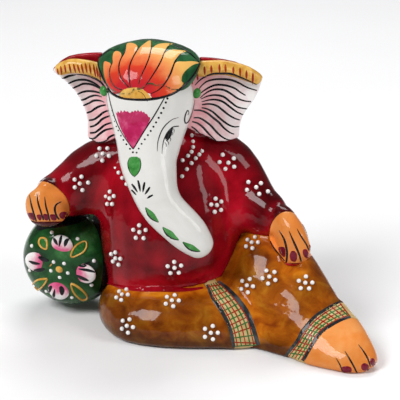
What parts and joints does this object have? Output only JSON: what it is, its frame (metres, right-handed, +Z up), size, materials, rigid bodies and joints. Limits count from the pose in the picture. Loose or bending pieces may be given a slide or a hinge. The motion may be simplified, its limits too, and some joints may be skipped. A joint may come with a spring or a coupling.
{
  "type": "ganesha idol",
  "caption": "Enamelled cast-metal Ganesha figurine, reclining with one arm on a round bolster and one knee raised.",
  "frame": {"origin": "on the floor, under the middle of the figurine's bounding box", "axes": "+X to the viewer's right, from the bolster to the raised foot; -Y to the viewer; +Z up"},
  "size_m": [0.1151, 0.0678, 0.0956],
  "materials": {
    "crimson_enamel": "glossy enamel",
    "amber_enamel": "glossy enamel",
    "skin_enamel": "glossy enamel",
    "cream_enamel": "glossy enamel",
    "ivory_enamel": "glossy enamel",
    "lotus_enamel": "glossy enamel",
    "green_enamel": "glossy enamel",
    "ear_enamel": "glossy enamel",
    "gold_enamel": "glossy enamel",
    "bottle_green_enamel": "glossy enamel",
    "pink_enamel": "glossy enamel",
    "white_enamel": "glossy enamel",
    "bare_metal": "sawn, unpolished"
  },
  "bodies": {
    "root": {"torso": "crimson_enamel", "base_plate": "bare_metal", "right_arm": "crimson_enamel", "right_hand": "skin_enamel", "left_arm": "crimson_enamel", "left_hand": "skin_enamel", "folded_leg": "amber_enamel", "folded_leg_cuff": "cream_enamel", "raised_leg": "amber_enamel", "raised_leg_cuff": "cream_enamel", "left_foot": "skin_enamel", "head_and_trunk": "ivory_enamel", "lotus_cap": "lotus_enamel", "ear_studs": "green_enamel", "right_ear": "ear_enamel", "right_ear_rim": "gold_enamel", "left_ear": "ear_enamel", "left_ear_rim": "gold_enamel", "bolster": "bottle_green_enamel", "bolster_boss": "gold_enamel", "bolster_tulips": "pink_enamel", "bolster_leaves": "green_enamel", "bolster_dots": "white_enamel", "necklace_beads": "white_enamel", "kurta_dots": "white_enamel", "dhoti_dots": "white_enamel"}
  },
  "joints": []
}
